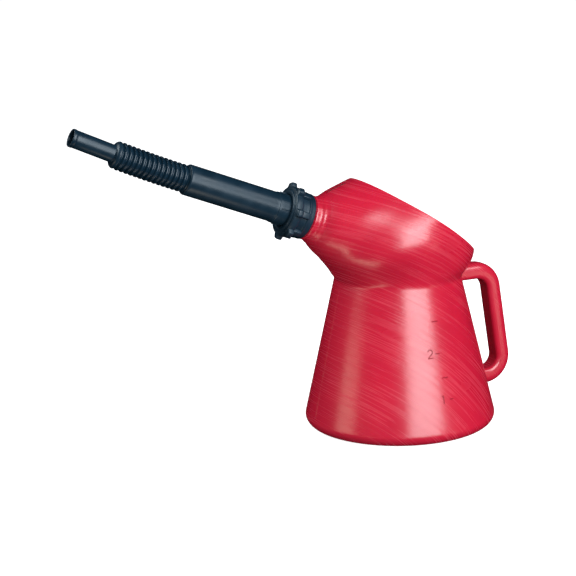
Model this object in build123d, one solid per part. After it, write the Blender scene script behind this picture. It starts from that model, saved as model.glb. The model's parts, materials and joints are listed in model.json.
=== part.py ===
from build123d import *
import math
import os

# Oil measuring jug with a screwed-on flexible pouring spout.
# Frame: origin at the centre of the jug's base, +Z up, the spout points towards -X and
# the handle towards +X.  y = 0 is the plane of symmetry.  Millimetres.

# ---------------------------------------------------------------- driving dimensions
BASE_R = 96.0          # widest radius of the cone, at the base
BASE_ROUND = 8.9       # rounding between base and cone
WAIST_R = 63.2         # crease between cone and head
WAIST_Z = 150.5
WALL = 2.2             # jug wall
FLOOR = 2.6            # jug floor

# Head: elliptical sections in planes that turn about a line parallel to Y through PIVOT,
# from the level waist to the end of the neck cone.
PIVOT_X = -114.78
PIVOT_Z = WAIST_Z
# angle (deg), distance to the lower edge, distance to the upper edge, half width in Y
HEAD = [
    (0.00, 51.33, 178.23, 63.45),
    (4.11, 48.60, 190.81, 65.60),
    (10.27, 46.12, 196.12, 69.60),
    (19.16, 43.57, 194.67, 73.60),
    (30.11, 41.24, 187.95, 70.20),
    (41.06, 40.20, 162.50, 56.50),
    (52.01, 40.30, 131.65, 44.80),
    (57.49, 41.20, 116.60, 38.80),
    (62.96, 42.81, 104.95, 32.60),
    (68.44, 45.08, 94.46, 24.69),
]
MOUTH_X = -45.6        # a point of the mouth plane, above the ridge of the head
MOUTH_Z = 252.4
MOUTH_TILT = 34.42     # the mouth plane falls towards +X by this angle

# Neck and spout axis
SPOUT_ELEV = 21.56     # degrees above level, towards -X
NECK_X = -100.3        # centre of the collar's rear edge
NECK_Z = 219.8
NECK_BACK = 12.0       # the head's last section lies this far behind it
NECK_COLLAR_R = 22.0   # plain neck behind the thread
NECK_R = 18.6          # thread root
NECK_BORE = 16.4
NECK_END = 14.0        # neck mouth, measured from the collar's rear edge
NECK_SPLIT = -9.0      # the neck's solid begins here, on the collar side of the head
THREAD_PITCH = 4.0
THREAD_CREST = 19.7
THREAD_START = 4.2
THREAD_TURNS = 1.5

GASKET_T = 1.6
GASKET_R = 19.4
GASKET_HOLE = 15.0
GAP = 0.1              # between the faces that the collar clamps

FLANGE_T = 2.4
FLANGE_R = 19.4
COLLAR_LEN = 23.8
COLLAR_R = 22.6        # rear skirt and the panels between the lugs
COLLAR_FLANGE_R = 24.6 # front flange
COLLAR_FLANGE_S = 14.7 # the flange begins here
COLLAR_BORE = 20.2
COLLAR_HOLE = 15.9
LUG_COUNT = 7
LUG_R = 28.8
LUG_W = 8.4
LUG_L = 8.4
LUG_TURN = -73.0       # first lug, from +Y
STEP_R = 25.0          # low step behind each lug
STEP_W = 7.2
STEP_S = 6.2

TUBE_R = 14.8
TUBE_WALL = 1.6
SLEEVE_R = 15.4
SLEEVE_END = 35.0
TUBE_END = 130.4       # front shoulder of the tube, from the collar's rear edge

RING_COUNT = 14
RING_PITCH = 4.75
RING_W = 2.75          # axial width of one convolution
RING_R = 13.3          # crown
VALLEY_R = 11.7
BELLOWS_WALL = 1.1
REST_BEND = 3.4        # the bellows' set at rest, degrees in all

NOZZLE_R = 8.4
NOZZLE_BORE = 6.9
NOZZLE_SHOULDER_R = 13.0
NOZZLE_LEN = 48.0      # from the last bellows pivot to the tip
LIP_R = 8.7
LIP_L = 3.2

# Handle: centre line in the plane of symmetry, and its D section
HANDLE_PATH = [(58.0, 145.2), (105.6, 145.2), (121.8, 33.4), (78.0, 31.5)]
HANDLE_BEND = (21.0, 20.0)
HANDLE_THICK = 16.6
HANDLE_WIDE = 21.0
HANDLE_CORNER = 6.5
HANDLE_WALL = 2.2

os.makedirs("parts", exist_ok=True)


def save(shape, name):
    shape.label = name
    export_step(shape, os.path.join("parts", name + ".step"))


def one(shape):
    """The single solid of a result."""
    return max(shape.solids(), key=lambda s: s.volume)


# ---------------------------------------------------------------- directions
beta = math.radians(SPOUT_ELEV)
AX = (-math.cos(beta), 0.0, math.sin(beta))
NECK = (NECK_X, 0.0, NECK_Z)


def along(s):
    return (NECK[0] + AX[0] * s, 0.0, NECK[2] + AX[2] * s)


def spout_plane(s=0.0):
    """Plane square to the spout axis, s mm in front of the collar's rear edge."""
    return Plane(origin=along(s), x_dir=(0, 1, 0), z_dir=AX)


def turned(profile, plane):
    """Solid of revolution about a plane's normal; profile = [(radius, distance), ...]."""
    with BuildPart() as p:
        with BuildSketch(Plane.XZ):
            with BuildLine():
                Polyline(*profile, close=True)
            make_face()
        revolve(axis=Axis.Z)
    return plane * one(p.part)


# ---------------------------------------------------------------- jug
def cone(off, z_low):
    """Cone with the rounded base, moved inwards by off."""
    ang = math.atan2(BASE_R - WAIST_R, WAIST_Z - BASE_ROUND)
    rc = BASE_R - BASE_ROUND
    rr = BASE_ROUND - off
    t1 = (rc + rr * math.cos(ang), BASE_ROUND + rr * math.sin(ang))
    tm = (rc + rr * math.cos(ang / 2 - math.pi / 4), BASE_ROUND + rr * math.sin(ang / 2 - math.pi / 4))
    t0 = (rc, BASE_ROUND - rr)
    # the cone runs on for 2 mm inside the head
    ztop = WAIST_Z + 2.0
    top = (WAIST_R - off - 2.0 * math.tan(ang), ztop)
    with BuildPart() as p:
        with BuildSketch(Plane.XZ):
            with BuildLine():
                Line((0, z_low), (rc, z_low))
                if abs(z_low - t0[1]) > 1e-6:
                    Line((rc, z_low), t0)
                ThreePointArc(t0, tm, t1)
                Line(t1, top)
                Line(top, (0, ztop))
                Line((0, ztop), (0, z_low))
            make_face()
        revolve(axis=Axis.Z)
    return one(p.part)


def head(off):
    """Head from the waist to the neck cone, its sections moved inwards by off."""
    wires = []
    for deg, lo, up, wide in HEAD:
        a = math.radians(deg)
        u = (math.cos(a), 0.0, math.sin(a))
        n = (-math.sin(a), 0.0, math.cos(a))
        mid = (lo + up) / 2
        o = (PIVOT_X + u[0] * mid, 0.0, PIVOT_Z + u[2] * mid)
        half, side = (up - lo) / 2 - off, wide - off
        edges = []
        for q in range(4):     # quarter arcs, all starting on the upper side
            if half >= side:
                edges.append(Edge.make_ellipse(half, side, plane=Plane(origin=o, x_dir=u, z_dir=n),
                                               start_angle=90 * q, end_angle=90 * (q + 1)))
            else:
                edges.append(Edge.make_ellipse(side, half, plane=Plane(origin=o, x_dir=(0, 1, 0), z_dir=n),
                                               start_angle=90 * q - 90, end_angle=90 * q))
        wires.append(Wire(edges))
    return one(Solid.make_loft(wires))


tilt = math.radians(MOUTH_TILT)
mouth_plane = Plane(origin=(MOUTH_X, 0, MOUTH_Z), x_dir=(math.cos(tilt), 0, -math.sin(tilt)),
                    z_dir=(math.sin(tilt), 0, math.cos(tilt)))
above_mouth = mouth_plane * Pos(60, 0, 100) * Box(500, 400, 200)

neck_out = turned([(0, -NECK_BACK - 3), (23.0, -NECK_BACK - 3), (24.6, -NECK_BACK + 0.2), (23.2, -NECK_BACK + 3.2), (NECK_COLLAR_R, -NECK_BACK + 6.5),
                   (NECK_COLLAR_R, -1.6), (NECK_R, -0.4), (NECK_R, NECK_END), (0, NECK_END)], spout_plane())
neck_in = turned([(0, -NECK_BACK - 3), (20.5, -NECK_BACK - 3), (22.4, -NECK_BACK + 0.2), (19.4, -NECK_BACK + 5.0), (NECK_BORE, -1.0),
                  (NECK_BORE, NECK_END + 5), (0, NECK_END + 5)], spout_plane())

outer = one(cone(0.0, 0.0) + head(0.0) + neck_out)
inner = one(cone(WALL, FLOOR) + head(WALL) + neck_in)
jug = one((outer - above_mouth) - inner)

# External thread on the neck: one and a half turns of a blunt ridge.
thread_path = Helix(pitch=THREAD_PITCH, height=THREAD_PITCH * THREAD_TURNS, radius=NECK_R)
with BuildPart() as tp:
    with BuildSketch(Plane(origin=thread_path @ 0, x_dir=(1, 0, 0), z_dir=thread_path % 0)) as ts:
        with BuildLine():
            Polyline((-0.35, -0.95), (THREAD_CREST - NECK_R, -0.5), (THREAD_CREST - NECK_R, 0.5), (-0.35, 0.95),
                     close=True)
        make_face()
    sweep(path=thread_path, is_frenet=True)
neck_thread = one(spout_plane(THREAD_START) * one(tp.part) - outer)
# The moulding is held as three shells that meet face to face: cone, head and neck.
below = Pos(0, 0, WAIST_Z - 150.0) * Box(600, 600, 300)
ahead = spout_plane(NECK_SPLIT) * Pos(0, 0, 50) * Box(160, 160, 100)
jug_cone = one(jug & below)
jug_rest = one(jug - below)
jug_neck = one(jug_rest & ahead)
jug_head = one(jug_rest - ahead)
save(jug_cone, "jug_body")
save(jug_head, "jug_head")
save(jug_neck, "jug_neck")
save(neck_thread, "neck_thread")

# ---------------------------------------------------------------- handle
def handle_section(off):
    with BuildSketch(Plane(origin=(HANDLE_PATH[0][0], 0, HANDLE_PATH[0][1]), x_dir=(0, 1, 0), z_dir=(1, 0, 0))) as s:
        RectangleRounded(HANDLE_WIDE - 2 * off, HANDLE_THICK - 2 * off, HANDLE_CORNER - off)
    return s.sketch


with BuildLine() as hl:
    FilletPolyline(*[(x, 0, z) for x, z in HANDLE_PATH], radius=list(HANDLE_BEND))
handle_solid = one(sweep(handle_section(0.0), path=hl.wires()[0]))
handle_void = one(sweep(handle_section(HANDLE_WALL), path=hl.wires()[0]))
handle = one(handle_solid - handle_void - outer)
save(handle, "jug_handle")

# ---------------------------------------------------------------- washer, collar, spout
g0 = NECK_END + GAP
gasket = turned([(GASKET_HOLE, g0), (GASKET_R, g0), (GASKET_R, g0 + GASKET_T), (GASKET_HOLE, g0 + GASKET_T)], spout_plane())
save(gasket, "sealing_washer")

f0 = g0 + GASKET_T + GAP
f1 = f0 + FLANGE_T
tube = turned([
    (TUBE_R - TUBE_WALL, f0), (FLANGE_R, f0), (FLANGE_R, f1), (SLEEVE_R, f1), (SLEEVE_R, SLEEVE_END),
    (TUBE_R, SLEEVE_END + 0.5), (TUBE_R, TUBE_END - 1.2), (TUBE_R - 1.2, TUBE_END),
    (VALLEY_R - BELLOWS_WALL, TUBE_END), (VALLEY_R - BELLOWS_WALL, TUBE_END - 1.6), (TUBE_R - TUBE_WALL, TUBE_END - 2.6)],
    spout_plane())
save(tube, "spout_tube")

c1 = f1 + 0.3          # inner face of the collar's front wall
collar = turned([
    (COLLAR_BORE, 0.0), (COLLAR_R, 0.0), (COLLAR_R, COLLAR_FLANGE_S), (COLLAR_FLANGE_R, COLLAR_FLANGE_S + 0.8),
    (COLLAR_FLANGE_R, COLLAR_LEN - 2.2), (COLLAR_FLANGE_R - 2.4, COLLAR_LEN), (COLLAR_HOLE, COLLAR_LEN), (COLLAR_HOLE, c1),
    (COLLAR_BORE, c1)], spout_plane())
lugs = []
for i in range(LUG_COUNT):
    lug = Pos((LUG_R + 21.0) / 2, 0, COLLAR_LEN - 1.2 - LUG_L / 2) * Box(LUG_R - 21.0, LUG_W, LUG_L)
    lug = fillet(lug.edges().filter_by(Axis.Z).sort_by(Axis.X)[-2:], 1.6)
    low = Pos((STEP_R + 21.0) / 2, 0, (STEP_S + COLLAR_FLANGE_S + 0.9) / 2) * Box(STEP_R - 21.0, STEP_W, COLLAR_FLANGE_S + 0.9 - STEP_S)
    lugs.append(Rot(0, 0, LUG_TURN + 360.0 / LUG_COUNT * i) * lug)
    lugs.append(Rot(0, 0, LUG_TURN + 360.0 / LUG_COUNT * i) * low)
hollow = turned([(0, -1), (COLLAR_BORE, -1), (COLLAR_BORE, c1), (COLLAR_HOLE, c1), (COLLAR_HOLE, COLLAR_LEN + 1), (0, COLLAR_LEN + 1)],
                spout_plane())
for lug in lugs:
    collar = collar + (spout_plane() * lug)
collar = one(collar - hollow)
save(collar, "screw_collar")

# Internal thread of the collar, in mesh with the neck's.
collar_path = Helix(pitch=THREAD_PITCH, height=THREAD_PITCH * THREAD_TURNS, radius=COLLAR_BORE)
with BuildPart() as cp:
    with BuildSketch(Plane(origin=collar_path @ 0, x_dir=(1, 0, 0), z_dir=collar_path % 0)):
        with BuildLine():
            Polyline((0.35, -0.95), (-1.15, -0.5), (-1.15, 0.5), (0.35, 0.95), close=True)
        make_face()
    sweep(path=collar_path, is_frenet=True)
collar_thread = one(spout_plane(THREAD_START - THREAD_PITCH / 2) * one(cp.part) - collar)
save(collar_thread, "collar_thread")

# ---------------------------------------------------------------- bellows and nozzle
# Chain of annular convolutions.  Each gap between two of them is a pivot; the chain has a
# slight upward set at rest, shared by the gaps.
PIVOT_FIRST = TUBE_END - 0.5 + RING_PITCH / 2
step = math.radians(REST_BEND / (RING_COUNT + 1))
origin = along(PIVOT_FIRST)
angle = beta
pivots = []
frames = []
for i in range(RING_COUNT + 1):
    pivots.append((origin[0], origin[2], math.degrees(angle)))
    angle += step
    ax = (-math.cos(angle), 0.0, math.sin(angle))
    frames.append((origin, ax))
    origin = (origin[0] + ax[0] * RING_PITCH, 0.0, origin[2] + ax[2] * RING_PITCH)

h = RING_W / 2
ring_profile = [
    (VALLEY_R, -h), (VALLEY_R + 0.3, -h + 0.15), (RING_R - 0.35, -0.95), (RING_R, -0.45), (RING_R, 0.45), (RING_R - 0.35, 0.95),
    (VALLEY_R + 0.3, h - 0.15), (VALLEY_R, h), (VALLEY_R - BELLOWS_WALL, h),
    (RING_R - BELLOWS_WALL - 0.3, 0.4), (RING_R - BELLOWS_WALL - 0.3, -0.4), (VALLEY_R - BELLOWS_WALL, -h)]
for i in range(RING_COUNT):
    o, ax = frames[i]
    c = (o[0] + ax[0] * RING_PITCH / 2, 0.0, o[2] + ax[2] * RING_PITCH / 2)
    ring = turned(ring_profile, Plane(origin=c, x_dir=(0, 1, 0), z_dir=ax))
    save(ring, "bellows_ring_%02d" % (i + 1))

o, ax = frames[RING_COUNT]
n0 = RING_PITCH / 2 - 1.4
nozzle = turned([
    (VALLEY_R - BELLOWS_WALL, n0), (NOZZLE_SHOULDER_R - 0.9, n0), (NOZZLE_SHOULDER_R, n0 + 0.9), (NOZZLE_SHOULDER_R, n0 + 2.2),
    (NOZZLE_SHOULDER_R - 1.2, n0 + 3.4), (NOZZLE_R + 0.8, n0 + 4.2), (NOZZLE_R, n0 + 5.2), (NOZZLE_R, NOZZLE_LEN - LIP_L),
    (LIP_R, NOZZLE_LEN - LIP_L + 0.3), (LIP_R, NOZZLE_LEN), (NOZZLE_BORE, NOZZLE_LEN), (NOZZLE_BORE, n0 + 5.0),
    (VALLEY_R - BELLOWS_WALL, n0 + 2.2)], Plane(origin=o, x_dir=(0, 1, 0), z_dir=ax))
save(nozzle, "nozzle")

print("pivots", [(round(x, 4), round(z, 4), round(a, 4)) for x, z, a in pivots])
print("nozzle frame", [round(v, 4) for v in o], [round(v, 6) for v in ax])
print("volumes", round(outer.volume), round(inner.volume), round(jug.volume))
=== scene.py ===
import bpy, bmesh, json, math
import numpy as np
from mathutils import Vector, Matrix
from mathutils.bvhtree import BVHTree


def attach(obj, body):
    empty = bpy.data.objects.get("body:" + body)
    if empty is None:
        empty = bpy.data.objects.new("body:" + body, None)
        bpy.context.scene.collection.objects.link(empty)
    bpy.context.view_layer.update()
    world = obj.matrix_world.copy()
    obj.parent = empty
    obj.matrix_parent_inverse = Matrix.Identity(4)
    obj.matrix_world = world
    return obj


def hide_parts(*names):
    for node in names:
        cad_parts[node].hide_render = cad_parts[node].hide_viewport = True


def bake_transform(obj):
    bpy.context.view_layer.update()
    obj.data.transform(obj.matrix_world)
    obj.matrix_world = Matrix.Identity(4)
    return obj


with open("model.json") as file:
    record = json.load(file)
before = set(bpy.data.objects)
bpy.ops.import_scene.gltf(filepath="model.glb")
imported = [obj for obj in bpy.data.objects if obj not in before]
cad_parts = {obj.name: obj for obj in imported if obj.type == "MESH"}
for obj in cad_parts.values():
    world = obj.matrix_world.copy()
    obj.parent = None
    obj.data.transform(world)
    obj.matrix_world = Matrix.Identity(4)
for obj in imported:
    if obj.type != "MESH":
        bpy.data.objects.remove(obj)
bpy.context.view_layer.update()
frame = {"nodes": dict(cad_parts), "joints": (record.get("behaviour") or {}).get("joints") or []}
MM = 0.001

# ---------------------------------------------------------------- dimensions (mm), as in the CAD
BASE_R, BASE_ROUND, WAIST_R, WAIST_Z, WALL = 96.0, 8.9, 63.2, 150.5, 2.2
PIV = np.array([-114.78, 0.0, 150.5])
HEAD = np.array([
    (0.00, 51.58, 177.98, 63.20), (4.11, 48.60, 190.81, 65.60), (10.27, 46.12, 196.12, 69.60),
    (19.16, 43.57, 194.67, 73.60), (30.11, 41.24, 187.95, 70.20), (41.06, 40.20, 162.50, 56.50),
    (52.01, 40.30, 131.65, 44.80), (57.49, 41.20, 116.60, 38.80), (62.96, 42.81, 104.95, 32.60),
    (68.44, 45.08, 94.46, 24.69)])
TILT = math.radians(34.42)
MOUTH_O = np.array([-45.6, 0.0, 252.4])
MOUTH_N = np.array([math.sin(TILT), 0.0, math.cos(TILT)])
BETA = math.radians(21.56)
AX = np.array([-math.cos(BETA), 0.0, math.sin(BETA)])
UP = np.array([math.sin(BETA), 0.0, math.cos(BETA)])
SIDE = np.array([0.0, 1.0, 0.0])
NECK = np.array([-100.3, 0.0, 219.8])
COLLAR_LEN = 23.8
TUBE_END = 130.4
RING_PITCH, RING_COUNT, RING_R, VALLEY_R = 4.75, 14, 13.3, 10.9

# ---------------------------------------------------------------- small helpers
def natural_spline(x, y):
    """Natural cubic spline through the points, as a function."""
    x, y = np.asarray(x, float), np.asarray(y, float)
    n = len(x)
    h = np.diff(x)
    A = np.zeros((n, n)); r = np.zeros(n)
    A[0, 0] = A[-1, -1] = 1.0
    for i in range(1, n - 1):
        A[i, i - 1], A[i, i], A[i, i + 1] = h[i - 1], 2 * (h[i - 1] + h[i]), h[i]
        r[i] = 6 * ((y[i + 1] - y[i]) / h[i] - (y[i] - y[i - 1]) / h[i - 1])
    m = np.linalg.solve(A, r)

    def f(q):
        q = np.atleast_1d(np.asarray(q, float))
        i = np.clip(np.searchsorted(x, q) - 1, 0, n - 2)
        a, b = x[i], x[i + 1]
        hh = b - a
        return (m[i] * (b - q) ** 3 / (6 * hh) + m[i + 1] * (q - a) ** 3 / (6 * hh)
                + (y[i] / hh - m[i] * hh / 6) * (b - q) + (y[i + 1] / hh - m[i + 1] * hh / 6) * (q - a))
    return f


def mesh_object(name, verts, faces, smooth=True):
    me = bpy.data.meshes.new(name)
    me.from_pydata([tuple(v) for v in np.asarray(verts) * MM], [], [tuple(f) for f in faces])
    me.validate()
    if smooth:
        me.polygons.foreach_set("use_smooth", [True] * len(me.polygons))
    me.update()
    ob = bpy.data.objects.new(name, me)
    bpy.context.scene.collection.objects.link(ob)
    return ob


def grid(n, m, base=0, wrap=True, flip=False):
    out = []
    for i in range(n - 1):
        for j in range(m if wrap else m - 1):
            k = (j + 1) % m
            q = (base + i * m + j, base + i * m + k, base + (i + 1) * m + k, base + (i + 1) * m + j)
            out.append(q[::-1] if flip else q)
    return out


def arc(c, r, a0, a1, n):
    """Points (radius, distance) of an arc about c, from angle a0 to a1 in degrees."""
    return [(c[0] + r * math.cos(math.radians(a0 + (a1 - a0) * i / n)),
             c[1] + r * math.sin(math.radians(a0 + (a1 - a0) * i / n))) for i in range(n + 1)]


def revolve(name, loop, origin, axis, up, m=96, sharp=38.0):
    """Closed solid: a closed loop of (radius, distance) turned about an axis."""
    origin, axis, up = np.asarray(origin, float), np.asarray(axis, float), np.asarray(up, float)
    side = np.cross(axis, up)
    t = np.linspace(0, 2 * math.pi, m, endpoint=False)
    ring = np.cos(t)[:, None] * up + np.sin(t)[:, None] * side
    V = np.concatenate([origin + h * axis + r * ring for r, h in loop])
    n = len(loop)
    F = []
    for i in range(n):
        i2 = (i + 1) % n
        for j in range(m):
            k = (j + 1) % m
            F.append((i * m + j, i * m + k, i2 * m + k, i2 * m + j))
    ob = mesh_object(name, V, F)
    outward(ob)
    sharpen(ob, sharp)
    return ob


def outward(ob):
    bm = bmesh.new()
    bm.from_mesh(ob.data)
    bmesh.ops.recalc_face_normals(bm, faces=bm.faces)
    bm.to_mesh(ob.data)
    bm.free()
    ob.data.update()


def sharpen(ob, degrees):
    """Smooth faces, with the edges over this angle kept sharp."""
    bm = bmesh.new()
    bm.from_mesh(ob.data)
    lim = math.radians(degrees)
    for f in bm.faces:
        f.smooth = True
    for e in bm.edges:
        if len(e.link_faces) == 2:
            e.smooth = e.calc_face_angle(0.0) < lim
        else:
            e.smooth = False
    bm.to_mesh(ob.data)
    bm.free()
    ob.data.update()


def join(name, obs):
    bpy.ops.object.select_all(action="DESELECT")
    for o in obs:
        o.select_set(True)
    bpy.context.view_layer.objects.active = obs[0]
    bpy.ops.object.join()
    obs[0].name = name
    obs[0].data.name = name
    return obs[0]


# ---------------------------------------------------------------- materials
def principled(name):
    m = bpy.data.materials.new(name)
    m.use_nodes = True
    nt = m.node_tree
    for n in list(nt.nodes):
        nt.nodes.remove(n)
    out = nt.nodes.new("ShaderNodeOutputMaterial")
    bs = nt.nodes.new("ShaderNodeBsdfPrincipled")
    nt.links.new(bs.outputs[0], out.inputs[0])
    return m, nt, bs


def node(nt, kind, **inputs):
    n = nt.nodes.new(kind)
    for k, v in inputs.items():
        if k in n.inputs:
            n.inputs[k].default_value = v
        else:
            setattr(n, k, v)
    return n


def link(nt, a, b):
    nt.links.new(a, b)


def math_node(nt, op, a, b=None, c=None, clamp=False):
    n = nt.nodes.new("ShaderNodeMath")
    n.operation = op
    n.use_clamp = clamp
    for i, v in enumerate((a, b, c)):
        if v is None:
            continue
        if isinstance(v, (int, float)):
            n.inputs[i].default_value = v
        else:
            nt.links.new(v, n.inputs[i])
    return n.outputs[0]


def ramp(nt, fac, stops):
    n = nt.nodes.new("ShaderNodeValToRGB")
    nt.links.new(fac, n.inputs[0])
    el = n.color_ramp.elements
    while len(el) > 1:
        el.remove(el[-1])
    el[0].position, el[0].color = stops[0][0], (*stops[0][1], 1)
    for p, c in stops[1:]:
        e = el.new(p)
        e.color = (*c, 1)
    return n.outputs[0]


def red_plastic(name, marks=True, shade=1.0):
    """Blow-moulded polyethylene: crimson, satin gloss, with fine concentric drag marks tinted lighter as a painted
    glint, faint lighter scuffs and a slight orange peel; shade scales the whole colour down.
    """
    m, nt, bs = principled(name)
    tc = nt.nodes.new("ShaderNodeTexCoord")
    obj = tc.outputs["Object"]
    sep = nt.nodes.new("ShaderNodeSeparateXYZ")
    link(nt, obj, sep.inputs[0])
    # distance from a centre low on the spout's side: the marks are arcs about it
    dx = math_node(nt, "SUBTRACT", sep.outputs[0], -0.185)
    dz = math_node(nt, "SUBTRACT", sep.outputs[2], -0.155)
    rad = math_node(nt, "SQRT", math_node(nt, "ADD", math_node(nt, "MULTIPLY", dx, dx), math_node(nt, "MULTIPLY", dz, dz)))
    ang = math_node(nt, "ARCTAN2", dz, dx)

    def arcs(along, scale, detail, rough, seed):
        comb = nt.nodes.new("ShaderNodeCombineXYZ")
        link(nt, rad, comb.inputs[0])
        link(nt, math_node(nt, "MULTIPLY", ang, along), comb.inputs[1])
        link(nt, math_node(nt, "MULTIPLY_ADD", sep.outputs[1], along * 2.0, seed), comb.inputs[2])
        n_ = node(nt, "ShaderNodeTexNoise", Scale=scale, Detail=detail, Roughness=rough)
        link(nt, comb.outputs[0], n_.inputs["Vector"])
        return n_.outputs[0]
    fine = arcs(0.004, 680.0, 1.5, 0.5, 0.3)
    wide = arcs(0.008, 210.0, 2.0, 0.5, 1.7)
    patch = node(nt, "ShaderNodeTexNoise", Scale=17.0, Detail=2.0, Roughness=0.5)
    link(nt, obj, patch.inputs["Vector"])
    patchy = ramp(nt, patch.outputs[0], [(0.38, (0.4,) * 3), (0.60, (1, 1, 1))])
    peel = node(nt, "ShaderNodeTexNoise", Scale=380.0, Detail=2.0, Roughness=0.5)
    link(nt, obj, peel.inputs["Vector"])
    swell = node(nt, "ShaderNodeTexNoise", Scale=26.0, Detail=1.0, Roughness=0.4)
    link(nt, obj, swell.inputs["Vector"])
    lines = ramp(nt, fine, [(0.56, (0, 0, 0)), (0.60, (1, 1, 1)), (0.64, (0.2, 0.2, 0.2))])
    lines2 = ramp(nt, wide, [(0.60, (0, 0, 0)), (0.635, (1, 1, 1)), (0.67, (0, 0, 0))])
    both = math_node(nt, "ADD", math_node(nt, "MULTIPLY", lines, 0.65), math_node(nt, "MULTIPLY", lines2, 0.34), clamp=True)
    amount = math_node(nt, "MULTIPLY", both, patchy)
    # a few short scuffs and specks
    speck = node(nt, "ShaderNodeTexVoronoi", Scale=62.0)
    link(nt, obj, speck.inputs["Vector"])
    dots = ramp(nt, speck.outputs["Distance"], [(0.0, (1, 1, 1)), (0.055, (0, 0, 0))])
    mix = nt.nodes.new("ShaderNodeMix")
    mix.data_type = "RGBA"
    mix.inputs[6].default_value = (*[c * shade for c in RED], 1)
    mix.inputs[7].default_value = (*[c * shade for c in RED_SCUFF_AND_GLINT], 1)
    # the drag marks and specks are tinted lighter: on the marks this is a painted glint, on the specks real scuffs
    scuff_and_glint_tint = math_node(nt, "ADD", math_node(nt, "MULTIPLY", amount, 0.20 if marks else 0.05), math_node(nt, "MULTIPLY", dots, 0.18), clamp=True)
    link(nt, scuff_and_glint_tint, mix.inputs[0])
    tone = ramp(nt, swell.outputs[0], [(0.3, (0.95, 0.95, 0.95)), (0.7, (1.04, 1.04, 1.04))])
    mul = nt.nodes.new("ShaderNodeMix")
    mul.data_type = "RGBA"
    mul.blend_type = "MULTIPLY"
    mul.inputs[0].default_value = 1.0
    link(nt, mix.outputs[2], mul.inputs[6])
    link(nt, tone, mul.inputs[7])
    link(nt, mul.outputs[2], bs.inputs["Base Color"])
    rough = ramp(nt, math_node(nt, "ADD", math_node(nt, "MULTIPLY", amount, 0.5 if marks else 0.06), math_node(nt, "MULTIPLY", patch.outputs[0], 0.3)),
                 [(0.0, (0.24,) * 3), (0.7, (0.36,) * 3)])
    link(nt, rough, bs.inputs["Roughness"])
    hgt = math_node(nt, "ADD", math_node(nt, "MULTIPLY", amount, -1.2 if marks else -0.2), math_node(nt, "MULTIPLY", peel.outputs[0], 0.22))
    hgt = math_node(nt, "ADD", hgt, math_node(nt, "MULTIPLY", swell.outputs[0], 2.5))
    bump = node(nt, "ShaderNodeBump", Strength=0.4, Distance=0.00016)
    link(nt, hgt, bump.inputs["Height"])
    link(nt, bump.outputs[0], bs.inputs["Normal"])
    bs.inputs["IOR"].default_value = 1.52
    bs.inputs["Specular IOR Level"].default_value = 0.72
    bs.inputs["Subsurface Weight"].default_value = 0.10
    bs.inputs["Subsurface Radius"].default_value = (1.0, 0.2, 0.15)
    bs.inputs["Subsurface Scale"].default_value = 0.003
    return m


def black_plastic(name, rough=0.33, bump_amount=0.22):
    """Blue-black polyethylene, semi-gloss, with a fine moulded grain and soft unevenness."""
    m, nt, bs = principled(name)
    tc = nt.nodes.new("ShaderNodeTexCoord")
    obj = tc.outputs["Object"]
    grain = node(nt, "ShaderNodeTexNoise", Scale=900.0, Detail=2.0, Roughness=0.6)
    link(nt, obj, grain.inputs["Vector"])
    soft = node(nt, "ShaderNodeTexNoise", Scale=60.0, Detail=2.0, Roughness=0.5)
    link(nt, obj, soft.inputs["Vector"])
    col = ramp(nt, soft.outputs[0], [(0.3, tuple(0.85 * c for c in BLACK)), (0.7, tuple(1.18 * c for c in BLACK))])
    link(nt, col, bs.inputs["Base Color"])
    r = ramp(nt, soft.outputs[0], [(0.3, (rough - 0.04,) * 3), (0.7, (rough + 0.07,) * 3)])
    link(nt, r, bs.inputs["Roughness"])
    h = math_node(nt, "ADD", math_node(nt, "MULTIPLY", grain.outputs[0], 0.3), math_node(nt, "MULTIPLY", soft.outputs[0], 1.2))
    bump = node(nt, "ShaderNodeBump", Strength=bump_amount, Distance=0.00015)
    link(nt, h, bump.inputs["Height"])
    link(nt, bump.outputs[0], bs.inputs["Normal"])
    bs.inputs["IOR"].default_value = 1.5
    bs.inputs["Specular IOR Level"].default_value = 0.40
    bs.inputs["Specular Tint"].default_value = (0.80, 0.94, 1.0, 1)
    return m


def rubber(name):
    m, nt, bs = principled(name)
    tc = nt.nodes.new("ShaderNodeTexCoord")
    g = node(nt, "ShaderNodeTexNoise", Scale=700.0, Detail=3.0, Roughness=0.6)
    link(nt, tc.outputs["Object"], g.inputs["Vector"])
    link(nt, ramp(nt, g.outputs[0], [(0.3, (0.018, 0.018, 0.018)), (0.7, (0.032, 0.032, 0.033))]), bs.inputs["Base Color"])
    link(nt, ramp(nt, g.outputs[0], [(0.3, (0.55,) * 3), (0.7, (0.7,) * 3)]), bs.inputs["Roughness"])
    b = node(nt, "ShaderNodeBump", Strength=0.3, Distance=0.0001)
    link(nt, g.outputs[0], b.inputs["Height"])
    link(nt, b.outputs[0], bs.inputs["Normal"])
    return m


RED = (0.375, 0.0050, 0.0240)
# lighter red for the drag marks (a painted glint) and the scuff specks
RED_SCUFF_AND_GLINT = (0.86, 0.16, 0.21)
BLACK = (0.0032, 0.0140, 0.0260)
MAT_RED = red_plastic("red_polyethylene")
MAT_RED_HANDLE = red_plastic("red_polyethylene_handle", marks=False)
# the raised figures get a darker copy of the red: painted shade of their moulded edges
MAT_RED_FIGURES_SHADED = red_plastic("red_polyethylene_figures_painted_shade", marks=False, shade=0.62)
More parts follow.
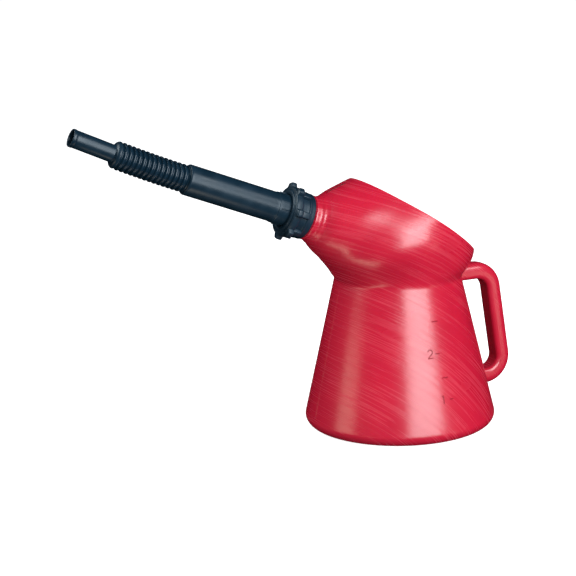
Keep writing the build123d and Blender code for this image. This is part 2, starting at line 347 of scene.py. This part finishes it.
# the hood seam gets a much darker red with little gloss: painted shade of a pinch-off groove
MAT_SEAM_SHADED = red_plastic("red_polyethylene_seam_painted_shade", marks=False, shade=0.25)
for m_, level in ((MAT_RED_FIGURES_SHADED, 0.35), (MAT_SEAM_SHADED, 0.06)):
    for n_ in m_.node_tree.nodes:
        if n_.type == "BSDF_PRINCIPLED":
            n_.inputs["Specular IOR Level"].default_value = level
MAT_BLACK = black_plastic("black_polyethylene")
MAT_BELLOWS = black_plastic("black_bellows", rough=0.24)
MAT_COLLAR = black_plastic("black_collar", rough=0.38)
MAT_RUBBER = rubber("washer_rubber")


def paint(ob, mat):
    ob.data.materials.clear()
    ob.data.materials.append(mat)


# ---------------------------------------------------------------- jug: one continuous skin
fL, fU, fW = (natural_spline(HEAD[:, 0], HEAD[:, i]) for i in (1, 2, 3))


def head_ring(deg, m):
    a = math.radians(deg)
    u = np.array([math.cos(a), 0.0, math.sin(a)])
    lo, up, w = float(fL(deg)[0]), float(fU(deg)[0]), float(fW(deg)[0])
    c = PIV + u * (lo + up) / 2
    t = np.linspace(0, 2 * math.pi, m, endpoint=False)
    return c + (up - lo) / 2 * np.cos(t)[:, None] * u + w * np.sin(t)[:, None] * SIDE


def jug_rings(m):
    """Rings from the middle of the base, up the cone and the head, to the end of the neck."""
    t = np.linspace(0, 2 * math.pi, m, endpoint=False)
    circ = np.stack([np.cos(t), np.sin(t), 0 * t], -1)
    prof = [(r, 1.6) for r in (3.0, 20.0, 40.0, 58.0, 68.0)] + [(71.0, 1.5), (73.0, 1.0), (75.0, 0.35), (77.0, 0.03), (79.0, 0.0)]
    ang = math.atan2(BASE_R - WAIST_R, WAIST_Z - BASE_ROUND)
    rc = BASE_R - BASE_ROUND
    prof += [(83.0, 0.0)] + arc((rc, BASE_ROUND), BASE_ROUND, -90, math.degrees(ang), 16)
    r0, z0 = prof[-1]
    for z in np.linspace(z0, WAIST_Z - 3.0, 72)[1:]:
        prof.append((r0 + (WAIST_R - r0) * (z - z0) / (WAIST_Z - z0), z))
    rings = [np.stack([r * circ[:, 0], r * circ[:, 1], np.full(m, z)], -1) for r, z in prof]
    # the crease: a tight hollow radius between cone and head
    low, high = rings[-1], head_ring(2.2, m)
    mid = head_ring(0.0, m)
    for f in (0.12, 0.25, 0.38, 0.5, 0.62, 0.75, 0.88):
        a, b = low + (mid - low) * f, mid + (high - mid) * f
        rings.append(a + (b - a) * f)
    for deg in np.concatenate([np.linspace(2.2, 14, 22), np.linspace(14, 50, 66)[1:], np.linspace(50, 67.6, 44)[1:]]):
        rings.append(head_ring(deg, m))
    n = len(rings)
    # neck: rounded shoulder, plain collar seat, then the stretch that carries the thread
    circ_n = np.cos(t)[:, None] * UP + np.sin(t)[:, None] * SIDE
    neck = [(24.45, -11.2), (24.15, -10.4), (23.85, -9.6), (23.5, -9.0), (23.1, -8.4), (22.7, -7.9), (22.35, -7.3), (22.1, -6.6),
            (22.0, -5.8), (22.0, -4.6), (22.0, -3.2), (22.0, -2.0), (21.7, -1.7), (20.8, -1.2), (19.4, -0.6), (18.7, -0.3), (18.6, 0.4),
            (18.6, 2.5), (18.6, 5.0), (18.6, 7.5), (18.6, 10.0), (18.6, 12.2), (18.6, 13.5), (18.45, 13.85), (18.1, 14.0)]
    for r, s in neck:
        rings.append(NECK + s * AX + r * circ_n)
    return np.array(rings)


M = 288
R = jug_rings(M)
n = len(R)
V = R.reshape(-1, 3)
F = grid(n, M, flip=True)
V = np.concatenate([V, [[0, 0, 1.6]]])
F += [(len(V) - 1, (j + 1) % M, j) for j in range(M)]
skin = mesh_object("jug_skin", V, F)
outward(skin)
outer_tree_bm = bmesh.new()
outer_tree_bm.from_mesh(skin.data)
# outer surface for fitting the handle's roots, the ribs and the graduations
TREE = BVHTree.FromBMesh(outer_tree_bm)
outer_tree_bm.free()

# the mouth, first a little above its plane; then the wall, then the true cut
bm = bmesh.new()
bm.from_mesh(skin.data)


def cut(bm, lift):
    return bmesh.ops.bisect_plane(bm, geom=bm.verts[:] + bm.edges[:] + bm.faces[:], dist=1e-7,
                                  plane_co=Vector((MOUTH_O + MOUTH_N * lift) * MM), plane_no=Vector(MOUTH_N),
                                  clear_outer=True, clear_inner=False)


cut(bm, 5.0)
bm.to_mesh(skin.data)
bm.free()
mod = skin.modifiers.new("wall", "SOLIDIFY")
mod.thickness = WALL * MM
mod.offset = -1.0
mod.use_even_offset = False
mod.use_rim = True
dg = bpy.context.evaluated_depsgraph_get()
solid = bpy.data.meshes.new_from_object(skin.evaluated_get(dg))
skin.modifiers.clear()
skin.data = solid
bm = bmesh.new()
bm.from_mesh(skin.data)
res = cut(bm, 0.0)
edges = [e for e in res["geom_cut"] if isinstance(e, bmesh.types.BMEdge) and e.is_valid and len(e.link_faces) == 1]
bridged = bmesh.ops.bridge_loops(bm, edges=edges)
rim_edges = [e for e in edges if e.is_valid]
bmesh.ops.recalc_face_normals(bm, faces=bm.faces)
bev = bmesh.ops.bevel(bm, geom=rim_edges, offset=0.45 * MM, offset_type="OFFSET", segments=3, profile=0.5, affect="EDGES", clamp_overlap=True)
bm.to_mesh(skin.data)
bm.free()
sharpen(skin, 50.0)


def surface(p, off=0.0):
    """Nearest point of the jug's outer skin to p (mm), moved off along the normal; also the normal."""
    co, no, _, _ = TREE.find_nearest(Vector(np.asarray(p) * MM))
    co = np.array(co) / MM
    no = np.array(no)
    return co + no * off, no


# ---------------------------------------------------------------- handle: one rounded loop, its roots flared into the skin
def fillet_path(pts, radii, seg=26):
    out = []
    pts = [np.array([x, 0.0, z]) for x, z in pts]
    out.append(pts[0])
    for i in range(1, len(pts) - 1):
        a, b, c = pts[i - 1], pts[i], pts[i + 1]
        u, v = (a - b) / np.linalg.norm(a - b), (c - b) / np.linalg.norm(c - b)
        th = math.acos(float(u @ v))
        d = radii[i - 1] / math.tan(th / 2)
        bis = (u + v) / np.linalg.norm(u + v)
        ctr = b + bis * radii[i - 1] / math.sin(th / 2)
        s, e = b + u * d - ctr, b + v * d - ctr
        tot = math.acos(float(s @ e) / radii[i - 1] ** 2)
        for k in range(seg + 1):
            f = k / seg
            out.append(ctr + (math.sin((1 - f) * tot) * s + math.sin(f * tot) * e) / math.sin(tot))
    out.append(pts[-1])
    return np.array(out)


def d_section(n=72):
    """Rounded section of the grip: (across in Y, outwards), flatter on the finger side."""
    W, T = 21.0 / 2, 16.6 / 2
    pts = []
    ro, ri = 8.2, 4.4

    def corner(cx, cy, r, a0, a1, k):
        for i in range(k + 1):
            a = math.radians(a0 + (a1 - a0) * i / k)
            pts.append((cx + r * math.cos(a), cy + r * math.sin(a)))
    corner(W - ro, T - ro, ro, 0, 90, 14)
    corner(-(W - ro), T - ro, ro, 90, 180, 14)
    corner(-(W - ri), -(T - ri), ri, 180, 270, 11)
    corner(W - ri, -(T - ri), ri, 270, 360, 11)
    P = np.array(pts)
    # even spacing
    Q = np.vstack([P, P[:1]])
    L = np.concatenate([[0], np.cumsum(np.linalg.norm(np.diff(Q, axis=0), axis=1))])
    s = np.linspace(0, L[-1], n, endpoint=False)
    return np.stack([np.interp(s, L, Q[:, 0]), np.interp(s, L, Q[:, 1])], -1)


path = fillet_path([(58.0, 145.2), (105.6, 145.2), (121.8, 33.4), (78.0, 31.5)], (21.0, 20.0))
sec = d_section()
# resample the straight runs
dense = [path[0]]
for a, b in zip(path[:-1], path[1:]):
    k = max(1, int(np.linalg.norm(b - a) / 2.2))
    dense += [a + (b - a) * i / k for i in range(1, k + 1)]
dense = np.array(dense)
tang = np.gradient(dense, axis=0)
tang /= np.linalg.norm(tang, axis=1)[:, None]
loops = []
for p, t in zip(dense, tang):
    out_dir = np.cross(t, SIDE)
    out_dir /= np.linalg.norm(out_dir)
    if out_dir @ (p - np.array([80.0, 0, 90.0])) < 0:
        out_dir = -out_dir
    loops.append(p + sec[:, :1] * SIDE + sec[:, 1:] * out_dir)
loops = np.array(loops)


def inside(p):
    q, no = surface(p)
    return (np.asarray(p) - q) @ no < 0


def root(loop, d, centre, fil=5.0):
    """From a loop on the leg, run along d to the skin and flare out on it. Returns the new loops."""
    hits, out = [], []
    for p in loop:
        o = Vector(p * MM)
        h = TREE.ray_cast(o, Vector(d), 0.2)
        hits.append(np.array(h[0]) / MM if h[0] is not None else surface(p)[0])
    hits = np.array(hits)
    ends = []
    for h in hits:
        q, no = surface(h)
        rad = h - centre
        rad = rad - (rad @ no) * no
        rad /= np.linalg.norm(rad) + 1e-9
        e, _ = surface(h + rad * fil, -0.03)
        ends.append(e)
    ends = np.array(ends)
    start = hits - np.asarray(d) * fil
    rows = []
    for k in range(1, 10):
        f = k / 9
        rows.append((1 - f) ** 2 * start + 2 * f * (1 - f) * hits + f ** 2 * ends)
    return start, rows


d_top = np.array([-1.0, 0.0, 0.0])
d_low = (dense[-1] - dense[-2]) / np.linalg.norm(dense[-1] - dense[-2])
keep = [i for i in range(len(dense)) if not any(inside(q) for q in loops[i][::6])]
i0, i1 = keep[0] + 3, keep[-1] - 3
c_top, c_low = dense[i0] + d_top * 8, dense[i1] + d_low * 8
s_top, r_top = root(loops[i0], d_top, c_top)
s_low, r_low = root(loops[i1], d_low, c_low)
allloops = [*r_top[::-1], s_top, *[loops[i] for i in range(i0, i1 + 1)], s_low, *r_low]
HV = np.concatenate(allloops)
HF = grid(len(allloops), len(sec))
grip = mesh_object("handle_loop", HV, HF)
# turn the skin's edge just inside the jug's wall so that the solid is closed
bm = bmesh.new()
bm.from_mesh(grip.data)
for e_loop in (allloops[0], allloops[-1]):
    pass
boundary = [e for e in bm.edges if len(e.link_faces) == 1]
bmesh.ops.holes_fill(bm, edges=boundary, sides=0)
bmesh.ops.recalc_face_normals(bm, faces=bm.faces)
bm.to_mesh(grip.data)
bm.free()
sharpen(grip, 60.0)

# ---------------------------------------------------------------- parting line: a low rib on the plane of symmetry
def rib(name, pts, normals, width=1.1, height=0.38, taper=3):
    """Low rounded rib along points on a surface; its ends run out."""
    pts, normals = np.asarray(pts), np.asarray(normals)
    tg = np.gradient(pts, axis=0)
    tg /= np.linalg.norm(tg, axis=1)[:, None]
    prof = [(-0.5, -0.25), (-0.34, 0.35), (-0.15, 0.86), (0.0, 1.0), (0.15, 0.86), (0.34, 0.35), (0.5, -0.25), (0.0, -0.5)]
    rows = []
    for i, (p, no, t) in enumerate(zip(pts, normals, tg)):
        lat = np.cross(t, no)
        f = min(1.0, (min(i, len(pts) - 1 - i)) / taper + 0.05)
        rows.append([p + lat * a * width * (0.5 + 0.5 * f) + no * (b * height * f - 0.02) for a, b in prof])
    V = np.array(rows).reshape(-1, 3)
    n_, m_ = len(pts), len(prof)
    Fs = grid(n_, m_) + [tuple(range(m_)), tuple((n_ - 1) * m_ + j for j in range(m_))[::-1]]
    ob = mesh_object(name, V, Fs)
    outward(ob)
    sharpen(ob, 70.0)
    return ob


def skin_line(points):
    P, N_ = [], []
    for p in points:
        q, no = surface(p)
        q[1] = 0.0
        P.append(q); N_.append(no)
    return np.array(P), np.array(N_)


hood = [PIV + np.array([math.cos(math.radians(a)), 0, math.sin(math.radians(a))]) * float(fU(a)[0]) for a in np.linspace(66.8, 58.2, 30)]
ribs = [rib("rib_hood", *skin_line(hood), width=1.3, height=1.1)]
front = [np.array([-(BASE_R - 0.2 - 0.2316 * (z - 10.9)), 0, z]) for z in np.linspace(11, 146, 60)]
ribs.append(rib("rib_front", *skin_line(front), width=0.9, height=0.22))
belly = [PIV + np.array([math.cos(math.radians(a)), 0, math.sin(math.radians(a))]) * float(fL(a)[0]) for a in np.linspace(3.0, 66, 60)]
ribs.append(rib("rib_belly", *skin_line(belly), width=0.9, height=0.25))
rear = [np.array([(BASE_R - 0.2 - 0.2316 * (z - 10.9)), 0, z]) for z in np.linspace(48, 128, 40)]
ribs.append(rib("rib_rear", *skin_line(rear), width=0.9, height=0.22))


# ---------------------------------------------------------------- graduations: raised strokes on the near side
def cone_r(z):
    return BASE_R - 0.2 - 0.2316 * (z - 10.9)


def on_cone(u, z):
    """u is the distance along the surface from the -Y line, towards +X; z is the height."""
    a = u / cone_r(z)
    return np.array([cone_r(z) * math.sin(a), -cone_r(z) * math.cos(a), z]), np.array([math.sin(a), -math.cos(a), 0.2316])


def stroke(name, pts, width=1.1, height=0.85):
    P, Nn = [], []
    pts = np.asarray(pts, float)
    L = np.concatenate([[0], np.cumsum(np.linalg.norm(np.diff(pts, axis=0), axis=1))])
    k = max(4, int(L[-1] / 0.45))
    s = np.linspace(0, L[-1], k + 1)
    for a, b in zip(np.interp(s, L, pts[:, 0]), np.interp(s, L, pts[:, 1])):
        p, no = on_cone(a, b)
        q, nn = surface(p)
        P.append(q); Nn.append(nn)
    return rib(name, P, Nn, width=width, height=height, taper=1.2)


def digit_one(u, z, h=8.2):
    return [[(u - 1.5, z + h * 0.80), (u + 0.15, z + h)], [(u + 0.2, z + h), (u + 0.2, z)]]


def digit_two(u, z, h=8.2):
    w = 5.2
    pts = []
    for i in range(15):
        a = math.radians(170 - 215 * i / 14)
        pts.append((u + w * 0.46 * math.cos(a), z + h - w * 0.46 + w * 0.46 * math.sin(a)))
    pts.append((u - w / 2, z))
    return [pts, [(u - w / 2, z), (u + w / 2, z)]]


GRAD = []


def grade(strokes):
    for s_ in strokes:
        GRAD.append(stroke("g", s_))


grade(digit_two(-6.6, 83.0))
grade([[(-1.4, 86.6), (3.6, 86.6)]])
grade(digit_one(1.6, 38.6))
grade([[(8.4, 42.2), (13.0, 42.2)]])
grade([[(2.6, 63.2), (9.6, 63.2)]])
grade([[(-1.0, 117.0), (5.6, 117.0)]])

for o in (skin, *ribs):
    # the hood seam rib is painted dark: painted shade
    paint(o, MAT_SEAM_SHADED if o.name.startswith("rib_hood") else MAT_RED)
# the figures are painted darker: painted shade
for o in GRAD:
    paint(o, MAT_RED_FIGURES_SHADED)
jug_visual = join("jug_moulding", [skin, *ribs, *GRAD])
paint(grip, MAT_RED_HANDLE)
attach(jug_visual, "jug"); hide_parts(*[n for n in ("jug_body", "jug_head", "jug_neck") if n in frame["nodes"]])
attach(grip, "jug"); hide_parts("jug_handle")
paint(frame["nodes"]["neck_thread"], MAT_RED_HANDLE)
paint(frame["nodes"]["collar_thread"], MAT_COLLAR)
paint(frame["nodes"]["sealing_washer"], MAT_RUBBER)

# ---------------------------------------------------------------- collar: turned ring with stepped lugs and recessed panels
def polar(theta):
    return math.cos(theta) * UP + math.sin(theta) * (-SIDE)


def collar_mesh():
    c1 = 18.7
    e = COLLAR_LEN
    outer = [(20.2, 0.0), (20.4, -0.0), (21.6, 0.0), (22.2, 0.12), (22.5, 0.4), (22.6, 0.9), (22.6, 3.0), (22.6, 5.2), (22.9, 5.7), (22.95, 6.2), (22.7, 6.6), (22.2, 6.9),
             (21.9, 7.3), (21.8, 8.0), (21.8, 10.0), (21.8, 12.0), (21.8, 13.4), (21.9, 14.0), (22.3, 14.5), (23.3, 14.9), (24.1, 15.2), (24.5, 15.7), (24.6, 16.4),
             (24.6, 18.5), (24.6, 20.6), (24.45, 21.3), (24.0, 21.9), (23.2, 22.25), (22.2, 22.4), (21.4, 22.45), (21.0, 22.6), (20.8, 22.95), (20.5, 23.3), (19.9, 23.6), (19.0, 23.78), (18.0, 23.8),
             (17.1, 23.7), (16.4, 23.4), (16.0, 22.9), (15.9, 22.2), (15.9, c1 + 0.3), (16.0, c1 + 0.02), (16.2, c1), (19.6, c1), (20.1, c1 - 0.05), (20.2, c1 - 0.4), (20.2, 9.0)]
    return revolve("collar_ring", outer, NECK, AX, UP, m=210, sharp=40.0)


def block(name, theta, s0, s1, r0, r1, width, bevel=0.9, lean=0.0, seg=3, top_w=None, top_s=(0.0, 0.0)):
    """Rounded lug standing on the collar at angle theta."""
    bm = bmesh.new()
    rad = polar(theta)
    tan = np.cross(AX, rad)
    top_w = top_w or width
    vs = []
    for r, w in ((r0, width), (r1, top_w)):
        for s in ((s0, s1) if r == r0 else (s0 + top_s[0], s1 - top_s[1])):
            for q in (-0.5, 0.5):
                vs.append(bm.verts.new(Vector((NECK + s * AX + r * rad + q * w * tan + (lean * (r - r0)) * AX) * MM)))
    v = vs
    for f in ((0, 1, 3, 2), (4, 6, 7, 5), (0, 4, 5, 1), (2, 3, 7, 6), (0, 2, 6, 4), (1, 5, 7, 3)):
        bm.faces.new([v[i] for i in f])
    bmesh.ops.recalc_face_normals(bm, faces=bm.faces)
    bmesh.ops.bevel(bm, geom=bm.edges[:], offset=bevel * MM, segments=seg, profile=0.5, affect="EDGES", clamp_overlap=True)
    me = bpy.data.meshes.new(name)
    bm.to_mesh(me)
    bm.free()
    ob = bpy.data.objects.new(name, me)
    bpy.context.scene.collection.objects.link(ob)
    sharpen(ob, 50.0)
    return ob


LUG0 = math.radians(-17.0)
parts = [collar_mesh()]
for i in range(7):
    th = LUG0 + 2 * math.pi * i / 7
    parts.append(block("lug_tall_%d" % i, th, 14.3, 22.5, 20.8, 28.8, 9.4, bevel=1.25, top_w=6.6, lean=0.0, top_s=(0.9, 1.6)))
    parts.append(block("lug_low_%d" % i, th, 6.3, 15.8, 20.8, 25.0, 7.2, bevel=0.8, top_w=6.0))
collar = join("screw_collar_ring", parts)
paint(collar, MAT_COLLAR)
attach(collar, "collar"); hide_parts("screw_collar")

# ---------------------------------------------------------------- spout tube
F0, F1 = 15.8, 18.2
tube_loop = ([(13.2, F0), (19.0, F0), (19.4, F0 + 0.4), (19.4, F1 - 0.3), (19.1, F1), (16.2, F1), (15.6, F1 + 0.3), (15.4, F1 + 0.9), (15.4, 25.0), (15.4, 30.0), (15.4, 34.2), (15.34, 34.7), (15.1, 34.95),
              (14.86, 35.1), (14.8, 35.4), (14.8, 38.0), (14.8, 50.0), (14.8, 70.0), (14.8, 90.0), (14.8, 110.0), (14.8, 122.0)]
             + [(14.8, 126.4)] + arc((12.6, 127.6), 2.2, 0, 90, 9)[0:]
             + [(12.3, 129.85), (12.0, 129.95), (11.7, 130.1)])


def bellows_r(x):
    """Outer radius of the bellows at distance x (mm) along its pitch, 0 at a crown."""
    f = abs(((x / RING_PITCH) + 0.5) % 1.0 - 0.5) * 2     # 0 at a crown, 1 in a valley
    g = 0.5 - 0.5 * math.cos(math.pi * min(1.0, max(0.0, (f - 0.18) / 0.74)))
    return RING_R - (RING_R - VALLEY_R) * g


# the chain of frames: the pivots of the CAD's joints at rest
joints = {j["name"]: j for j in frame["joints"]}
chain = [j for j in frame["joints"] if j["name"].startswith("bend_")]
piv = [np.array(j["pos_m"]) / MM for j in chain]
step = math.radians(3.4 / (RING_COUNT + 1))
ang = BETA
axes, ups = [AX], [UP]
for k in range(RING_COUNT + 1):
    ang += step
    axes.append(np.array([-math.cos(ang), 0, math.sin(ang)]))
    ups.append(np.array([math.sin(ang), 0, math.cos(ang)]))

tube_close = [(10.6, 130.1), (10.6, 128.6), (11.6, 127.6), (13.2, 126.6)]
tube = revolve("spout_pipe", tube_loop + tube_close, NECK, AX, UP, m=128, sharp=45.0)
extra = []
for q in range(4):
    th = math.radians(86 + 90 * q)
    extra.append(block("gusset_%d" % q, th, 24.0, 32.4, 14.6, 16.2, 1.5, bevel=0.4, top_w=0.9, seg=2))
tube = join("spout_pipe", [tube, *extra])
paint(tube, MAT_BLACK)
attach(tube, "spout_base"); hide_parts("spout_tube")

# ---------------------------------------------------------------- bellows: one continuous corrugated wall, in lengths that meet at each pivot, the axis turning a little there
def bellows_piece(k, m=112):
    """From the middle of element k-1 to the middle of element k (0 is the pipe's end, 15 the nozzle's shoulder)."""
    P = piv[k - 1]
    a0, a1, u0, u1 = axes[k - 1], axes[k], ups[k - 1], ups[k]
    half = RING_PITCH / 2
    rows_o, rows_i = [], []
    if k == 1:
        xs = np.linspace(-1.9, half, 12)
    elif k == RING_COUNT + 1:
        xs = np.linspace(-half, 1.35, 12)
    else:
        xs = np.linspace(-half, half, 17)
    t = np.linspace(0, 2 * math.pi, m, endpoint=False)
    for x in xs:
        f = min(1.0, max(0.0, (x + half) / (2 * half)))
        ax = a0 + (a1 - a0) * f
        ax /= np.linalg.norm(ax)
        up = u0 + (u1 - u0) * f
        up = up - (up @ ax) * ax
        up /= np.linalg.norm(up)
        c = P + x * ax
        ring = np.cos(t)[:, None] * up + np.sin(t)[:, None] * SIDE
        ro = bellows_r(x - half)
        ri = ro - 1.0
        rows_o.append(c + ro * ring)
        rows_i.append(c + ri * ring)
    rows = rows_o + rows_i[::-1]
    n_ = len(rows)
    V = np.concatenate(rows)
    Fs = []
    for i in range(n_):
        i2 = (i + 1) % n_
        for j in range(m):
            j2 = (j + 1) % m
            Fs.append((i * m + j, i * m + j2, i2 * m + j2, i2 * m + j))
    ob = mesh_object("bellows_wall_%02d" % k, V, Fs)
    outward(ob)
    sharpen(ob, 55.0)
    paint(ob, MAT_BELLOWS)
    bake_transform(ob)
    return ob


for k in range(1, RING_COUNT + 2):
    w = bellows_piece(k)
    if k <= RING_COUNT:
        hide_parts("bellows_ring_%02d" % k)

# ---------------------------------------------------------------- nozzle
No, Na, Nu = piv[-1], axes[-1], ups[-1]
n0 = RING_PITCH / 2 - 1.4
noz = ([(10.6, n0), (11.7, n0)] + [(12.1, n0 + 0.05)] + arc((11.9, n0 + 1.15), 1.1, -80, 20, 8)
       + [(12.75, n0 + 2.2), (12.3, n0 + 3.0), (11.6, n0 + 3.75), (10.7, n0 + 4.3), (9.8, n0 + 4.62), (9.1, n0 + 4.8), (8.7, n0 + 4.98), (8.48, n0 + 5.3), (8.4, n0 + 5.8),
          (8.4, 9.0), (8.4, 15.0), (8.4, 22.0), (8.4, 30.0), (8.4, 37.0), (8.4, 43.4), (8.33, 43.8), (8.2, 44.0), (8.22, 44.3), (8.5, 44.6), (8.68, 45.0), (8.7, 45.6),
          (8.7, 47.0), (8.6, 47.6), (8.35, 47.93), (8.0, 48.0), (7.5, 47.95), (7.15, 47.7), (6.95, 47.2), (6.9, 46.4), (6.9, 30.0), (6.9, 15.0), (6.9, n0 + 5.4), (7.6, n0 + 4.4), (9.4, n0 + 3.3), (10.6, n0 + 2.2)])
nozzle = revolve("nozzle_spout", noz, No, Na, Nu, m=112, sharp=50.0)
paint(nozzle, MAT_BLACK)
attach(nozzle, "nozzle"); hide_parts("nozzle")

# ---------------------------------------------------------------- studio
def plane(name, pts, mat):
    me = bpy.data.meshes.new(name)
    me.from_pydata(pts, [], [tuple(range(len(pts)))])
    ob = bpy.data.objects.new(name, me)
    bpy.context.scene.collection.objects.link(ob)
    me.materials.append(mat)
    return ob


def unseen_by_light(ob):
    ob.visible_diffuse = False
    ob.visible_glossy = False
    ob.visible_transmission = False
    ob.visible_volume_scatter = False


fm, fnt, fbs = principled("studio_floor")
fbs.inputs["Base Color"].default_value = (0.93, 0.93, 0.93, 1)
fbs.inputs["Roughness"].default_value = 0.9
fbs.inputs["Specular IOR Level"].default_value = 0.0
fbs.inputs["Emission Color"].default_value = (1, 1, 1, 1)
fbs.inputs["Emission Strength"].default_value = 0.74
floor = plane("floor", [(-7, -7, 0), (7, -7, 0), (7, 7, 0), (-7, 7, 0)], fm)
unseen_by_light(floor)
floor.visible_shadow = False

# pale backdrop all round, which lights nothing
bm = bmesh.new()
bmesh.ops.create_uvsphere(bm, u_segments=48, v_segments=24, radius=6.5)
me = bpy.data.meshes.new("backdrop")
bm.to_mesh(me)
bm.free()
dome = bpy.data.objects.new("backdrop", me)
bpy.context.scene.collection.objects.link(dome)
dm = bpy.data.materials.new("backdrop")
dm.use_nodes = True
dnt = dm.node_tree
for n_ in list(dnt.nodes):
    dnt.nodes.remove(n_)
dout = dnt.nodes.new("ShaderNodeOutputMaterial")
dem = dnt.nodes.new("ShaderNodeEmission")
dem.inputs[0].default_value = (1, 1, 1, 1)
dem.inputs[1].default_value = 1.05
dnt.links.new(dem.outputs[0], dout.inputs[0])
me.materials.append(dm)
dome.visible_shadow = False
unseen_by_light(dome)

world = bpy.data.worlds.new("studio")
bpy.context.scene.world = world
world.use_nodes = True
bg = world.node_tree.nodes["Background"]
bg.inputs[0].default_value = (0.95, 0.98, 1.0, 1)
bg.inputs[1].default_value = 0.50
world.cycles_visibility.glossy = False


def softbox(name, azimuth, elevation, distance, width, height, radiance, color=(1, 1, 1), target=(0.0, 0.0, 0.12)):
    """Rectangular soft light; azimuth 0 is on the -Y side, 90 on the +X side."""
    a_, e_ = math.radians(azimuth), math.radians(elevation)
    t_ = Vector(target)
    d_ = Vector((math.sin(a_) * math.cos(e_), -math.cos(a_) * math.cos(e_), math.sin(e_)))
    L = bpy.data.lights.new(name, "AREA")
    L.shape = "RECTANGLE"
    L.size, L.size_y = width, height
    L.energy = radiance * math.pi * width * height
    L.color = color
    o = bpy.data.objects.new(name, L)
    bpy.context.scene.collection.objects.link(o)
    o.location = t_ + d_ * distance
    o.rotation_euler = (-d_).to_track_quat("-Z", "Y").to_euler()
    o.visible_camera = False
    return o


softbox("key", 4.5, 17.0, 1.5, 1.12, 1.02, 7.4, (1.0, 0.98, 1.0))
softbox("key_top", 13.0, 42.0, 1.5, 1.56, 0.48, 6.2, (1.0, 0.98, 1.0))
softbox("left_high", -112.0, 38.0, 1.5, 0.9, 0.5, 9.0, (0.95, 0.99, 1.0))
softbox("left_low", -94.0, -1.0, 1.0, 0.42, 0.18, 3.4, (1.0, 0.80, 0.62))
softbox("right_low", 36.0, -12.0, 1.5, 0.22, 0.26, 3.0, (1.0, 0.85, 0.72))
glow = softbox("table_glow", 0.0, 90.0, 0.3, 0.20, 0.085, 3.0, (1.0, 0.80, 0.62))
glow.location = (-0.245, -0.115, 0.006)
glow.rotation_euler = (math.pi, 0.0, math.radians(158))

# ---------------------------------------------------------------- camera
k_ = 96.0 / 95.0
A, E, ROLL = math.radians(-23.79), math.radians(12.78), math.radians(-1.86)
D = 1500 * k_
T = np.array([-118.78 * k_, 0.0, 149.74 * k_])
b = np.array([math.sin(A) * math.cos(E), -math.cos(A) * math.cos(E), math.sin(E)])
r = np.array([math.cos(A), math.sin(A), 0.0])
u = np.cross(b, r)
rr = math.cos(ROLL) * r + math.sin(ROLL) * u
uu = -math.sin(ROLL) * r + math.cos(ROLL) * u
C = T + D * b
cam = bpy.data.cameras.new("camera")
cam.sensor_width = 36.0
cam.lens = 1561.0 / 576.0 * 36.0
cam.clip_start = 0.05
cam.clip_end = 50.0
co = bpy.data.objects.new("camera", cam)
bpy.context.scene.collection.objects.link(co)
Mx = Matrix.Identity(4)
for i in range(3):
    Mx[i][0], Mx[i][1], Mx[i][2], Mx[i][3] = rr[i], uu[i], b[i], C[i] * MM
co.matrix_world = Mx
bpy.context.scene.camera = co
bpy.context.scene.view_settings.view_transform = "Standard"
bpy.context.scene.view_settings.look = "None"
